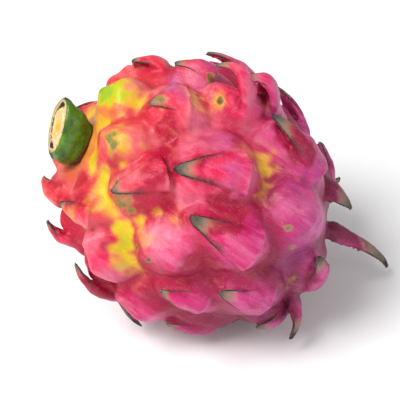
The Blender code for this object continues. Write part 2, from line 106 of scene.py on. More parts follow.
# ---------------- the bracts and the places on the rind
# Each bract: place of the top of its swelling and of its tip (latitude towards the stem,
# longitude; negative turns to the front), then in millimetres the swelling's height, the
# tip's height, half the width, the length of the back slope, the arch of the blade, and
# last how dark and dry its margins are, from 0 to 1: the upper and the lower, or both. A
# bract whose arch is 0 is worn down to its swelling and has no free blade.
BRACTS = {
    # round the stem, worn and blunt
    "stem_upper": ((67, 6), (75, 30), 8.0, 5.5, 9.5, 8.0, 0.0),
    "stem_front": ((60, -57), (70, -57), 8.5, 5.0, 8.5, 9.0, 0.0),
    "stem_back": ((58, 42), (68, 44), 7.0, 4.5, 8.0, 9.0, 0.0),
    "stem_lower": ((64, 160), (72, 158), 6.0, 4.0, 8.0, 10.0, 0.0),
    # first full ring
    "shoulder_back": ((48, 34), (57, 38), 6.5, 9.5, 9.0, 10.0, 0.5, 0.7),
    "shoulder_top": ((46, -16), (55, -25), 9.0, 8.5, 9.5, 11.0, 1.0, 0.6, 0.7),
    "shoulder_front": ((43, -66), (51, -88), 8.5, 8.0, 8.5, 10.0, 1.0, 0.15, 0.9),
    "shoulder_low": ((51, -122), (56, -143), 6.5, 7.0, 7.0, 9.0, 1.0, 0.9),
    "shoulder_left": ((58, -160), (58, 176), 6.5, 9.0, 6.5, 10.0, 1.0, 0.6),
    "shoulder_far": ((48, 110), (58, 112), 7.5, 8.0, 9.0, 13.0, 1.0, 0.7),
    # second ring
    "upper_back": ((34, 14), (45, 16), 8.0, 8.5, 8.0, 12.0, 1.0, 0.8, 0.5),
    "upper_front": ((21, -45), (38, -57), 9.5, 9.5, 11.0, 14.0, 1.0, 0.9, 1.0),
    "upper_low": ((19, -88), (29, -95), 8.5, 7.0, 10.0, 12.0, 0.0),
    "upper_under": ((30, -128), (42, -125), 8.5, 7.0, 6.6, 11.0, 0.0),
    "upper_left": ((37, -164), (45, -168), 5.0, 10.0, 4.0, 12.0, 1.0, 0.9),
    "upper_far": ((26, 150), (38, 150), 7.0, 8.0, 9.0, 14.0, 1.5, 0.7),
    "upper_rear": ((26, 78), (38, 80), 8.0, 9.0, 10.0, 14.0, 2.0, 0.8),
    # middle
    "middle_horn": ((20, -6), (34, -3), 9.0, 16.0, 8.0, 12.0, 8.0, 0.6),
    "middle_front": ((5, -68), (25, -70), 9.5, 9.0, 10.5, 15.0, 1.0, 0.75, 1.0),
    "middle_low": ((0, -104), (12, -108), 6.0, 6.0, 9.0, 15.0, 1.0, 0.6),
    "middle_foot": ((4, -136), (16, -132), 8.0, 6.0, 9.0, 15.0, 0.0),
    "middle_under": ((14, -151), (34, -139), 6.0, 10.0, 5.5, 13.0, 1.0, 0.7),
    "middle_left": ((2, 176), (15, 176), 4.0, 5.0, 8.0, 14.0, 0.5, 0.5),
    "middle_far": ((4, 118), (18, 118), 7.0, 9.0, 10.0, 16.0, 2.0, 0.8),
    "middle_back": ((8, 40), (24, 42), 8.5, 11.0, 10.0, 16.0, 2.5, 0.8),
    # towards the flower
    "flower_curl": ((10, 0), (24, -6), 8.0, 15.0, 8.0, 12.0, 7.0, 0.5),
    "flower_fold": ((-7, -19), (13, -15), 9.5, 11.5, 11.0, 16.0, 1.0, 0.6, 1.0),
    "flower_cheek": ((-14, -42), (0, -42), 9.5, 5.0, 12.0, 17.0, 0.0),
    "flower_low": ((-18, -88), (-2, -90), 7.0, 7.0, 10.0, 16.0, 1.0, 0.7),
    "flower_under": ((-22, -132), (-8, -134), 4.0, 5.0, 9.0, 14.0, 0.5, 0.5),
    "flower_left": ((-26, 168), (-12, 168), 3.5, 4.5, 9.0, 14.0, 0.5, 0.5),
    "flower_far": ((-20, 128), (-6, 126), 6.0, 9.0, 10.0, 16.0, 2.0, 0.8),
    "flower_rear": ((-16, 84), (2, 82), 8.0, 11.0, 10.0, 17.0, 2.5, 0.9),
    "flower_back": ((-24, 42), (-6, 40), 8.0, 12.0, 10.0, 17.0, 3.0, 0.8),
    # last ring before the navel
    "end_top": ((-42, 22), (-28, 22), 6.0, 7.0, 9.0, 13.0, 1.0, 0.7),
    "end_front": ((-40, -62), (-27, -55), 7.0, 9.0, 9.0, 14.0, 1.5, 0.8),
    "end_back": ((-42, 64), (-26, 62), 7.0, 12.0, 9.0, 14.0, 3.0, 0.8),
    "end_far": ((-44, 108), (-30, 105), 6.0, 9.0, 9.0, 13.0, 2.0, 0.8),
    "end_low": ((-46, -102), (-34, -106), 4.5, 6.0, 9.0, 12.0, 1.0, 0.7),
}
# Long withered straps of the flower end: root, tip, tip height, half width, arch, and the
# dryness of both margins
STRAPS = {
    "strap_top": ((-26, -12), (-46, -12), 9.0, 8.0, 2.0, 0.9),
    "strap_front": ((-50, -24), (-77, 8), 38.0, 3.0, 0.0, 1.0),
    "strap_back": ((-46, 84), (-36, 80), 18.0, 7.0, 4.0, 0.8),
    "strap_far": ((-56, 40), (-52, 48), 22.0, 6.0, 3.0, 0.8),
    "strap_near": ((-47, -80), (-44, -100), 15.0, 6.0, 3.0, 0.8),
    "strap_low": ((13, -158), (-6, -148), 10.0, 2.0, 2.0, 1.0),
}
# Places where the rind is still unripe: latitude, longitude, radius in millimetres, and
# how far it is from yellow (0.4) to lime green (1)
FLUSHES = [
    # between the stem and the upper side
    (74, 40, 7, 1.0), (71, 10, 8, 0.9), (67, -4, 7, 0.8), (62, 56, 4, 0.6), (76, -40, 6, 0.6),
    (58, -13, 4, 0.5), (59, -58, 6.5, 0.62), (62, -50, 4, 0.45), (71, -92, 6, 0.65),
    # the long valley that runs down the front from the stem
    (60, -94, 6.5, 0.62), (55, -99, 5.5, 0.62), (51, -104, 5.5, 0.6), (45, -104, 5, 0.55),
    (40, -105, 5, 0.66), (35, -107, 5.5, 0.72), (32, -112, 4.5, 0.66), (27, -116, 5, 0.6),
    (45, -144, 5, 0.5), (50, -129, 5, 0.55), (36, -91, 3, 0.5), (34, -80, 2.5, 0.4), (22, -116, 5, 0.45),
    (30, -94, 4.5, 0.5), (27, -75, 3.5, 0.3),
    # the far side of the stem
    (66, 150, 8, 0.5), (54, -177, 4, 0.5), (66, 100, 8, 0.5), (55, 85, 6, 0.4),
    # the upper side and the valley before the flower end
    (38, -12, 5, 0.5), (30, -11, 4, 0.5), (8, -34, 6, 0.45), (16, -35, 5, 0.3), (5, -42, 5, 0.35),
    (-8, -14, 3, 0.5),
]
# Painted light on lit facets and crests, then painted shade in pockets and under the blades over the rind's
# own crimson: latitude, longitude, radius in millimetres, strength
PAINTED_LIGHT = [
    (28, -65, 4.5, 1.0), (23, -86, 8, 0.8), (35, -46, 4, 0.6), (49, -74, 5, 0.7), (39, -123, 6, 0.9),
    (44, -100, 4, 0.8), (29, -89, 5, 1.0), (48, -40, 5, 0.8), (32, -25, 8, 0.55), (39, 6, 4, 0.7),
    (34, -2, 4, 0.7), (58, 40, 5, 0.4), (-2, -44, 6, 0.3), (70, -53, 3, 0.5), (56, -50, 4, 0.6),
    (62, -134, 4, 0.6), (37, -40, 7, 0.6), (55, -5, 6, 0.8), (27, -63, 4, 0.8), (19, -80, 5, 0.5),
    (14, -19, 6, 0.4), (25, -124, 6, 0.5), (20, 100, 8, 0.5), (-5, 60, 8, 0.4), (40, 140, 6, 0.5),
    (0, 150, 8, 0.4), (-30, -100, 6, 0.4),
]
# painted shade in pockets, under the blades and on slopes that face the stem, over the rind's own crimson
CRIMSON_AND_PAINTED_SHADE = [
    (43, -50, 4.5, 1.0), (39, -76, 5, 1.0), (34, -77, 4, 0.9), (46, -35, 4.5, 1.0), (41, 1, 2.5, 0.9),
    (57, -72, 4, 1.0), (65, -126, 4, 1.0), (44, -42, 4, 0.9), (6, -17, 4, 1.0),
    (1, -20, 4, 1.0), (-4, -22, 4, 0.9), (17, -60, 5, 1.0), (11, -59, 6, 1.0), (55, -122, 4, 0.8),
    (22, -140, 6, 0.9), (14, -146, 6, 0.9), (35, -118, 2.5, 0.7), (24, -104, 3, 0.7), (30, -48, 3, 0.8),
    (15, -66, 4, 1.0), (34, -73, 4, 1.0), (10, -88, 5, 1.0), (40, -65, 4, 1.0), (44, -37, 4, 1.0),
    (38, -84, 5, 0.8), (59, -73, 3.5, 0.7), (10, -85, 7, 0.9), (10, -97, 6, 0.8), (22, 60, 5, 0.8),
    (-14, 20, 6, 0.7), (14, 96, 6, 0.8), (-36, -30, 8, 0.9), (-35, 40, 8, 0.8), (-12, -70, 6, 0.7),
    (35, 95, 5, 0.8), (10, 140, 6, 0.7), (-12, 108, 6, 0.7), (0, -118, 6, 0.7), (-40, 120, 7, 0.7),
]
# Violet saddles and ridges, the rind's waxy frosting with painted sky reflection along the ridges; latitude,
# longitude, radius in millimetres, strength
BLOOM_AND_SKY_REFLECTION = [
    (46, 7, 5, 1.0), (46, -11, 4, 0.9), (42, -16, 4, 0.7), (38, 4, 5, 0.8), (34, -28, 5, 0.5),
    (30, 10, 5, 0.7), (28, -35, 5, 0.4), (19, -46, 4, 0.8), (25, -31, 4, 0.7), (6, -8, 6, 0.6),
    (-2, -38, 5, 0.35), (-16, -46, 8, 0.4), (-10, -28, 6, 0.4), (-16, 6, 8, 0.7), (20, 50, 7, 0.6),
    (-10, 60, 8, 0.7), (-22, -60, 8, 0.6), (2, 100, 8, 0.6), (18, 130, 7, 0.5), (-28, 90, 8, 0.6),
    (-30, 30, 8, 0.6), (12, 170, 8, 0.5),
]
# Worn and dried places: latitude, longitude, radius in millimetres, depth of brown
WORN = [
    (63, -57, 3.2, 0.5), (60, -61, 2.6, 0.5), (74, 64, 3.0, 0.7), (72, 60, 3.4, 0.5), (80, 42, 3.0, 0.8),
    (61, 60, 3.0, 0.5), (50, -21, 2.8, 0.55), (37, -9, 1.0, 1.0), (29, -11, 1.4, 0.8), (31, 5, 1.8, 0.9),
    (32, 1, 1.2, 0.9), (-9, -52, 1.8, 0.5), (-17, -58, 1.4, 0.5), (29, -102, 1.4, 0.8),
    (23, -100, 1.1, 0.8), (51, -81, 1.0, 0.8), (54, -92, 1.0, 0.8), (45, -90, 4.6, 0.55),
    (52, -138, 2.4, 0.6), (-30, -70, 1.6, 0.5), (10, 60, 1.8, 0.6), (-8, 96, 2.0, 0.6), (35, 120, 1.6, 0.6),
    (-30, 150, 2.2, 0.5),
]


# ---------------- the fruit's frame
def unit(vector):
    return vector / np.linalg.norm(vector, axis=-1, keepdims=True)


def direction(latitude, longitude):
    """Direction on the round that the body is stretched from."""
    lat, lon = math.radians(latitude), math.radians(longitude)
    return np.array([math.cos(lat) * math.cos(lon), math.cos(lat) * math.sin(lon), math.sin(lat)])


def on_body(directions):
    """Points of the plain body and its outward normals there."""
    return directions * HALF_AXES, unit(directions / HALF_AXES)


def turned(start, end, share):
    """Direction at a share of the way from start to end; it may run on past either."""
    angle = math.acos(float(np.clip(start @ end, -1.0, 1.0)))
    side = unit(end - start * (start @ end))
    return start * math.cos(angle * share) + side * math.sin(angle * share)


def lying_matrix():
    """From the upright fruit to the fruit on its resting spot."""
    rise, heading = math.radians(STEM_RISE), math.radians(STEM_HEADING)
    axis = np.array([math.cos(rise) * math.cos(heading), math.cos(rise) * math.sin(heading), math.sin(rise)])
    upper = unit(np.array([0.0, 0.0, 1.0]) - axis * axis[2])
    turn = np.stack([upper, np.cross(axis, upper), axis], axis=1)
    lowest_way = unit((turn.T @ np.array([0.0, 0.0, -1.0])) * HALF_AXES)
    lowest = turn @ (lowest_way * HALF_AXES)
    flattening = (REST_SPOT_DIAMETER / 2) ** 2 / BODY_DIAMETER
    matrix = Matrix(turn.tolist()).to_4x4()
    matrix.translation = Vector((-lowest[0], -lowest[1], -lowest[2] - flattening))
    return matrix


LYING = lying_matrix()


def ramp_up(values, low, high):
    """0 below low, 1 above high, and a smooth step between them."""
    share = np.clip((values - low) / (high - low), 0.0, 1.0)
    return share * share * (3.0 - 2.0 * share)


# ---------------- swellings
def swelling(directions, crest_at, tip_at, height, half_width, back_length):
    """Height of one bract's swelling over the body: steep to the tip, long behind."""
    crest_way, tip_way = direction(*crest_at), direction(*tip_at)
    points, _ = on_body(directions)
    crest, normal = on_body(crest_way)
    tip, _ = on_body(tip_way)
    reach = float(np.linalg.norm(tip - crest))
    ahead = unit((tip - crest) - normal * ((tip - crest) @ normal))
    across = np.cross(normal, ahead)
    along = (points - crest) @ ahead
    aside = (points - crest) @ across
    share = np.clip(along / reach, 0.0, 1.0)
    behind = np.exp(-(np.clip(-along, 0.0, None) / back_length) ** 1.7)
    beyond = np.exp(-(np.clip(along - 0.85 * reach, 0.0, None) / FRONT_SLOPE) ** 1.7)
    width = half_width * (1.1 - 0.2 * share)
    sharpness = 1.75 - 0.5 * share
    fall_aside = np.exp(-(np.abs(aside) / width) ** sharpness)
    same_side = directions @ crest_way > 0.0
    return height * behind * beyond * (1.0 - 0.2 * share) * fall_aside * same_side


def skin_height(directions):
    """Height of the skin over the plain body, all swellings together."""
    total = np.zeros(len(directions))
    first, second = np.zeros(len(directions)), np.zeros(len(directions))
    for crest_at, tip_at, height, _, half_width, back_length, *_ in BRACTS.values():
        one = swelling(directions, crest_at, tip_at, height * 1.08, half_width * 1.06 * MM, back_length * MM)
        total += one ** MERGE_POWER
        second = np.maximum(second, np.minimum(first, one))
        first = np.maximum(first, one)
    # a groove where two swellings meet, and lower ground where none reaches
    meeting = np.exp(-((first - second) / 0.7) ** 2) * ramp_up(second, 0.6, 2.5)
    bare = 1.0 - ramp_up(first, 0.5, 3.0)
    return (total ** (1.0 / MERGE_POWER) - GROOVE_DEPTH * meeting - BARE_DEPTH * bare) * MM


def navel(directions):
    """Depth of the round hollow at the flower end."""
    points, _ = on_body(directions)
    share = np.hypot(points[:, 0], points[:, 1]) / (NAVEL_DIAMETER / 2)
    return NAVEL_DEPTH * np.exp(-np.clip(share, 0.0, 3.0) ** 4) * (directions[:, 2] < 0.0)


# ---------------- shapes before they grow together
class Shapes:
    """Closed shapes gathered as one list of corners and faces."""

    def __init__(self):
        self.corners = []
        self.faces = []
        self.count = 0

    def add(self, corners, faces):
        self.corners.append(corners)
        self.faces += [tuple(self.count + index for index in face) for face in faces]
        self.count += len(corners)

    def add_loft(self, rings):
        """Skin a row of rings, with a flat face on each end."""
        rows, size = rings.shape[:2]
        index = np.arange(rows * size).reshape(rows, size)
        follow = np.roll(index, -1, axis=1)
        quads = np.stack([index[:-1], follow[:-1], follow[1:], index[1:]], axis=-1).reshape(-1, 4)
        faces = quads.tolist() + [index[0][::-1].tolist(), index[-1].tolist()]
        self.add(rings.reshape(-1, 3), faces)

    def mesh(self, name):
        data = bpy.data.meshes.new(name)
        data.from_pydata(np.vstack(self.corners).tolist(), [], self.faces)
        return data


def ball(shapes, rings=BALL_RINGS, segments=BALL_SEGMENTS):
    """The swollen body as one closed ball of rings between two poles."""
    lat = np.radians(90.0 - 180.0 * np.arange(1, rings) / rings)
    lon = np.radians(360.0 * np.arange(segments) / segments)
    grid = np.stack([np.outer(np.cos(lat), np.cos(lon)), np.outer(np.cos(lat), np.sin(lon)),
                     np.outer(np.sin(lat), np.ones(segments))], axis=-1).reshape(-1, 3)
    directions = np.vstack([[[0.0, 0.0, 1.0]], grid, [[0.0, 0.0, -1.0]]])
    points, normals = on_body(directions)
    height = skin_height(directions) - navel(directions)
    index = 1 + np.arange((rings - 1) * segments).reshape(rings - 1, segments)
    follow = np.roll(index, -1, axis=1)
    quads = np.stack([index[:-1], index[1:], follow[1:], follow[:-1]], axis=-1).reshape(-1, 4)
    last = len(directions) - 1
    caps = [(0, int(a), int(b)) for a, b in zip(index[0], follow[0])]
    caps += [(last, int(b), int(a)) for a, b in zip(index[-1], follow[-1])]
    shapes.add(points + normals * height[:, None], quads.tolist() + caps)


def blade_sections(spine, sideways, half_widths, thicknesses, droop, wave):
    """Lens-shaped sections along a spine, whose margins droop and wave a little.
    Returns the rings, and the upper side alone with each point's share across."""
    ahead = unit(np.gradient(spine, axis=0))
    lateral = unit(sideways - ahead * np.sum(sideways * ahead, axis=1, keepdims=True))
    outward = np.cross(ahead, lateral)
    share = np.linspace(-1.0, 1.0, BLADE_ACROSS + 1)
    run = np.linspace(0.0, 1.0, len(spine))[:, None]
    half = half_widths[:, None]
    hang = -droop * half * share ** 2
    hang = hang + half * 0.10 * np.sin(11.0 * run + wave + 2.0 * np.sign(share)) * np.abs(share) ** 2 * run
    bulge = thicknesses[:, None] * (0.5 - 0.2 * share ** 2)
    middle = spine[:, None] + lateral[:, None] * (half * share)[..., None]
    upper = middle + outward[:, None] * (hang + bulge)[..., None]
    lower = middle + outward[:, None] * (hang - bulge)[..., None]
    edge = middle + outward[:, None] * hang[..., None]
    return np.concatenate([upper, lower[:, ::-1]], axis=1), upper, share, edge


def blade(root_at, tip_at, lead, heights, half_widths, thicknesses, droop, wave):
    """Sections of one blade over the body; its root starts the lead's share further back."""
    root_way, tip_way = direction(*root_at), direction(*tip_at)
    shares = np.linspace(0.0, 1.0, len(heights))
    ways = np.array([turned(root_way, tip_way, share - lead * (1.0 - share)) for share in shares])
    points, normals = on_body(ways)
    spine = points + normals * (heights * MM)[:, None]
    sideways = np.cross(normals, unit(np.gradient(points, axis=0)))
    return blade_sections(spine, sideways, half_widths * MM, thicknesses * MM, droop, wave)


def bract_blade(crest_at, tip_at, crest_height, tip_height, half_width, arch, wave):
    """The free blade of one bract, from inside its swelling out to its tip."""
    shares = np.linspace(0.0, 1.0, BLADE_STATIONS)
    rest = 1.0 - shares
    middle = max(crest_height, tip_height) + arch
    heights = (crest_height - 2.0) * rest ** 2 + 2.0 * middle * rest * shares + tip_height * shares ** 2
    return blade(crest_at, tip_at, 0.35 if arch < RAISED_ARCH else 0.08, heights,
                 half_width * 0.76 * rest ** 0.9 + 0.75, 5.5 - 3.9 * shares ** 0.7, 0.35, wave)


def strap_blade(root_at, tip_at, tip_height, half_width, arch, wave):
    """One long withered strap of the flower end."""
    shares = np.linspace(0.0, 1.0, STRAP_STATIONS)
    heights = -2.0 * (1.0 - shares) + tip_height * shares + arch * np.sin(math.pi * shares)
    return blade(root_at, tip_at, 0.0, heights, half_width * (1.0 - shares) ** 0.9 + 0.85,
                 3.8 - 2.1 * shares, 0.2, wave)


# ---------------- mesh values
def read(items, key, width, kind=float):
    """One value of all corners or edges of a mesh, a row for each."""
    values = np.empty(len(items) * width, dtype=kind)
    items.foreach_get(key, values)
    return values.reshape(-1, width)


def store(data, name, values):
    """Keep one value for each corner in the mesh, for its finish to read."""
    layer = data.attributes.new(name, "FLOAT", "POINT")
    layer.data.foreach_set("value", np.array(values, dtype=np.float32))


class Skin:
    """The grown mesh with its neighbour table, for smoothing and for measured values."""

    def __init__(self, data):
        self.data = data
        self.places = read(data.vertices, "co", 3)
        edges = read(data.edges, "vertices", 2, np.int64)
        self.one = np.concatenate([edges[:, 0], edges[:, 1]])
        self.other = np.concatenate([edges[:, 1], edges[:, 0]])
        self.share = 1.0 / np.maximum(np.bincount(self.one, minlength=len(self.places)), 1)

    def averaged(self, values):
        """Each corner's value replaced by the mean of its neighbours'."""
        if values.ndim == 1:
            return np.bincount(self.one, weights=values[self.other], minlength=len(values)) * self.share
        return np.stack([self.averaged(column) for column in values.T], axis=1)

    def smoothed(self, values, rounds, amount=0.5):
        for _ in range(rounds):
            values = values * (1.0 - amount) + self.averaged(values) * amount
        return values

    def hollow(self, normals):
        """How far each place lies below the ground round it, in millimetres."""
        return np.sum((self.smoothed(self.places, SMOOTH_ROUNDS) - self.places) * normals, axis=1) / MM

    def write_back(self):
        self.data.vertices.foreach_set("co", self.places.ravel())
        self.data.update()

    def normals(self):
        self.write_back()
        return read(self.data.vertices, "normal", 3)


def unevenness(places, scale, seed):
    """Smooth random value from -1 to 1 at each place; scale is the size of its bumps."""
    shift = Vector((seed * 7.31, seed * 3.77, seed * 5.13))
    return np.array([noise.noise(Vector(place) / scale + shift) for place in places.tolist()])


def patches(directions, ragged, table):
    """Strength of the placed patches at each point, with ragged outlines."""
    points, _ = on_body(directions)
    total = np.zeros(len(directions))
    for latitude, longitude, radius, strength in table:
        centre, _ = on_body(direction(latitude, longitude))
        away = np.linalg.norm(points - centre, axis=1) / (radius * MM) + 0.6 * ragged
        total = np.maximum(total, strength * (1.0 - ramp_up(away, 0.15, 1.55)))
    return total


def largest_shell(data):
    """Leave only the biggest connected shell of a mesh."""
    one, other = read(data.edges, "vertices", 2, np.int64).T
    label = np.arange(len(data.vertices))
    while True:
        lower = np.minimum(label[one], label[other])
        before = label.copy()
        np.minimum.at(label, one, lower)
        np.minimum.at(label, other, lower)
        label = label[label]
        if np.array_equal(label, before):
            break
    keep = label == np.bincount(label).argmax()
    if keep.all():
        return data
    number = np.cumsum(keep) - 1
    faces = [[int(number[index]) for index in face.vertices] for face in data.polygons
             if keep[face.vertices[0]]]
    made = bpy.data.meshes.new(data.name)
    made.from_pydata(read(data.vertices, "co", 3)[keep].tolist(), [], faces)
    return made


def in_scene(name, data):
    """A new object in the scene that shows the data."""
    item = bpy.data.objects.new(name, data)
    bpy.context.scene.collection.objects.link(item)
    return item


def new_piece(name, data, material):
    """Link a mesh as a finished piece with its place in its mesh."""
    data.name = name
    data.materials.clear()
    data.materials.append(material)
    data.shade_smooth()
    return in_scene(name, data)


def evaluated_mesh(item):
    """The plain mesh that an object's modifiers give."""
    bpy.context.view_layer.update()
    graph = bpy.context.evaluated_depsgraph_get()
    return bpy.data.meshes.new_from_object(item.evaluated_get(graph))


# ---------------- materials
def ink(code, alpha=1.0):
    """Linear colour from a six-figure sRGB code."""
    parts = [int(code[at:at + 2], 16) / 255.0 for at in (0, 2, 4)]
    return (*[part / 12.92 if part <= 0.04045 else ((part + 0.055) / 1.055) ** 2.4 for part in parts], alpha)


class Nodes:
    """Short way to add nodes to a tree, with their sockets fed at once."""

    def feed(self, socket, value):
        if isinstance(value, bpy.types.NodeSocket):
            self.tree.links.new(value, socket)
        else:
            socket.default_value = value

    def node(self, kind, feeds=(), **settings):
        made = self.tree.nodes.new(kind)
        for key, value in settings.items():
            setattr(made, key, value)
        for socket, value in feeds:
            self.feed(made.inputs[socket], value)
        return made

    def out(self, kind, feeds=(), **settings):
        """The first output of a new node."""
        return self.node(kind, feeds, **settings).outputs[0]

    def maths(self, operation, *values):
        return self.out("ShaderNodeMath", enumerate(values), operation=operation)


class Finish(Nodes):
    """One material, whose colour is laid on coat by coat."""

    def __init__(self, name):
        self.material = bpy.data.materials.new(name)
        self.material.use_nodes = True
        self.tree = self.material.node_tree
        self.surface = self.tree.nodes["Principled BSDF"].inputs
        self.place = self.node("ShaderNodeTexCoord").outputs["Object"]

    def upright_place(self, scale):
        """Object coordinates in the fruit's own frame, stretched by scale."""
        upright = self.out("ShaderNodeMapping", [
            ("Vector", self.place), ("Rotation", LYING.inverted().to_euler())], vector_type="POINT")
        return self.out("ShaderNodeVectorMath", [(0, upright), (1, scale)], operation="MULTIPLY")

    def noise(self, scale, detail=3.0, rough=0.5, bend=0.0, place=None):
        return self.out("ShaderNodeTexNoise", [
            ("Vector", place or self.place), ("Scale", scale), ("Detail", detail), ("Roughness", rough),
            ("Distortion", bend)])

    def values(self, *names):
        return [self.node("ShaderNodeAttribute", attribute_name=name).outputs["Fac"] for name in names]

    def span(self, value, low, high, to_low=0.0, to_high=1.0):
        sockets = ("Value", "From Min", "From Max", "To Min", "To Max")
        return self.out("ShaderNodeMapRange", zip(sockets, (value, low, high, to_low, to_high)),
                        interpolation_type="SMOOTHSTEP")

    def times(self, *values):
        total = values[0]
        for value in values[1:]:
            total = self.maths("MULTIPLY", total, value)
        return total

    def ragged(self, value, pattern, amount):
        """The value, swung up and down by a pattern round one half."""
        return self.maths("MULTIPLY_ADD", self.maths("SUBTRACT", pattern, 0.5), amount, value)

    def ramp(self, value, *stops):
        """A colour ramp from stops written as position and sRGB code."""
        node = self.node("ShaderNodeValToRGB", [("Fac", value)])
        elements = node.color_ramp.elements
        while len(elements) < len(stops):
            elements.new(0.5)
        for element, stop in zip(elements, stops):
            position, code = stop.split()
            element.position = float(position)
            element.color = ink(code)
        return node.outputs["Color"]

    def mix(self, below, coat, *shares):
        """A coat over the colour below it, as strong as the product of the shares."""
        below, coat = (ink(code) if isinstance(code, str) else code for code in (below, coat))
        return self.node("ShaderNodeMix", [(0, self.times(*shares)), (6, below), (7, coat)],
                         data_type="RGBA").outputs[2]

    def coated(self, colour, coats):
        for coat, *shares in coats:
            colour = self.mix(colour, coat, *shares)
        return colour

    def bump(self, height, strength, distance, below=None):
        feeds = [("Height", height), ("Strength", strength), ("Distance", distance)]
        return self.out("ShaderNodeBump", feeds + ([("Normal", below)] if below else []))

    def finished(self, colour, roughness, normal, **others):
        others.update({"Base Color": colour, "Roughness": roughness, "Normal": normal})
        for name, value in others.items():
            self.feed(self.surface[name.replace("_", " ")], value)
        return self.material


def rind_material(settings):
    """Leathery rind: salmon by the stem, hot pink, then magenta, yellow in the valleys, with painted shade
    and painted light over it.
    """
    make = Finish("pink_rind")
    span = make.span
    stemward, front, hollow, tip, rim, flush, worn, rise, bloom, lighter, deeper = make.values(
        "stemward", "front", "hollow", "tip", "rim", "flush", "worn", "rise", "bloom", "lighter", "deeper")
    lying = make.upright_place((1.0, 1.0, 0.35))
    mottle = make.noise(160.0, 4.0, 0.6, 0.6, lying)
    clouds = make.noise(45.0, 3.0, 0.55)
    grain = make.noise(900.0, 3.0, 0.6)
    veins = make.noise(420.0, 3.0, 0.55, 0.4, make.upright_place((1.0, 1.0, 0.22)))
    along = make.maths("ADD", stemward, make.maths("MULTIPLY_ADD", clouds, 0.16, -0.08))

    # ripeness runs along the fruit
    base = make.ramp(along, "0.20 9C1E60", "0.42 B4286E", "0.53 C41A66", "0.63 D21A50", "0.78 DC283C",
                     "0.95 D83A2C")
    pale = make.ramp(along, "0.30 C86CA6", "0.55 DA6C9A", "0.70 EC7A8C", "0.90 EE8872")
    deep = make.ramp(along, "0.30 700A38", "0.55 960030", "0.75 A8002C", "0.95 AE1014")
    # the dark crimson stops are painted shade for hollows towards the flower; the orange stops are the rind's
    # own valley colour by the stem
    ground = make.ramp(along, "0.30 6E0A36", "0.55 96062E", "0.70 B01034", "0.84 C4303A", "0.97 D29A2C")
    violet = make.ramp(along, "0.30 94508C", "0.55 A84C8C", "0.85 B05488")
    young = make.ramp(flush, "0.15 DE8250", "0.38 E0A834", "0.60 D0BC08", "0.80 B0B800", "0.98 6FA408")
    frayed = make.ragged(make.ragged(worn, mottle, 0.8), grain, 0.4)
    dry = make.ramp(frayed, "0.15 C8A05A", "0.35 94883C", "0.52 6A7038", "0.68 7A4E30", "0.95 341810")
    frayed_tip = make.ragged(tip, mottle, 0.35)
    withered = make.ramp(frayed_tip, "0.60 C4907A", "0.73 928868", "0.84 645C50", "0.95 2E1A16")
    depth = make.maths("MULTIPLY_ADD", mottle, 0.5, hollow)
    # where the skin lies low or in a hollow, for painted shade and for the valley colour
    low = make.maths("MAXIMUM", span(rise, 0.70, 0.25), span(depth, 0.20, 1.20))
    settled = make.maths("MAXIMUM", span(depth, -0.6, 0.8, 0.40, 0.95), span(flush, 0.30, 0.85))
    # each coat is laid over the ones before it, as strong as the product of its shares
    coats = [
        (pale, span(mottle, 0.40, 0.68), 0.45),
        (deep, span(veins, 0.50, 0.66), 0.40),
        (pale, span(veins, 0.48, 0.34), 0.22),
        # painted shade darkens the slopes that face the stem; painted light and a waxy frosting pale the
        # backs that face the flower
        (deep, span(front, 0.10, 0.65), span(mottle, 0.75, 0.30, 0.55, 0.95)),
        (pale, span(front, -0.05, -0.55), span(clouds, 0.35, 0.60, 0.35, 0.75)),
        # low ground is the rind's own orange by the stem, and painted shade turns the hollows deep red
        # towards the flower
        (ground, low, 0.85),
        # violet frosting with painted sky reflection along the ridges, painted light on lit facets, and
        # painted shade in pockets and under the blades over the rind's own crimson
        (violet, bloom, span(mottle, 0.25, 0.60, 0.35, 0.85)),
        (pale, lighter, span(mottle, 0.30, 0.62, 0.45, 1.0), 0.85),
        (deep, span(deeper, 0.0, 0.75, 0.0, 0.92)),
        # unripe flushes
        (young, span(make.ragged(flush, mottle, 1.1), 0.0, 0.70), settled),
        # dried places, margins and tips
        (dry, span(frayed, 0.10, 0.55, 0.0, 0.9)),
        ("6A2430", rim, span(grain, 0.35, 0.60, 0.45, 0.85)),
        (withered, span(frayed_tip, 0.62, 0.86)),
        # fine pale speckle and a few darker dots
        ("F6C6D2", span(make.noise(2200.0, 2.0), 0.62, 0.72), 0.18),
        ("8A3A30", span(make.noise(420.0, 2.0), 0.74, 0.80), 0.5),
    ]
    rough = make.maths("MULTIPLY_ADD", grain, 0.16, settings.roughness - 0.08)
    rough = make.maths("MULTIPLY_ADD", span(frayed_tip, 0.4, 0.8), 0.35, rough)
    creases = make.bump(make.noise(240.0, 4.0, 0.6, 0.8, lying), 0.45, 0.0014)
    creases = make.bump(veins, 0.30, 0.0009, creases)
    return make.finished(make.coated(base, coats), rough, make.bump(grain, 0.35, 0.0005, creases),
                         Coat_Weight=settings.wax, Coat_Roughness=0.22, Specular_IOR_Level=0.24)


def margin_material():
    """Dried bract margins: dark brown at the tips, maroon towards the root."""
    make = Finish("dried_margin")
    age, = make.values("age")
    blotches = make.noise(700.0, 3.0, 0.6)
    dark = make.ramp(blotches, "0.30 21120F", "0.50 3A241C", "0.70 5E4A3A", "0.90 7C705E")
    colour = make.mix("9C2138", dark, make.span(age, 0.15, 0.60))
    return make.finished(colour, 0.65, make.bump(blotches, 0.4, 0.0004))


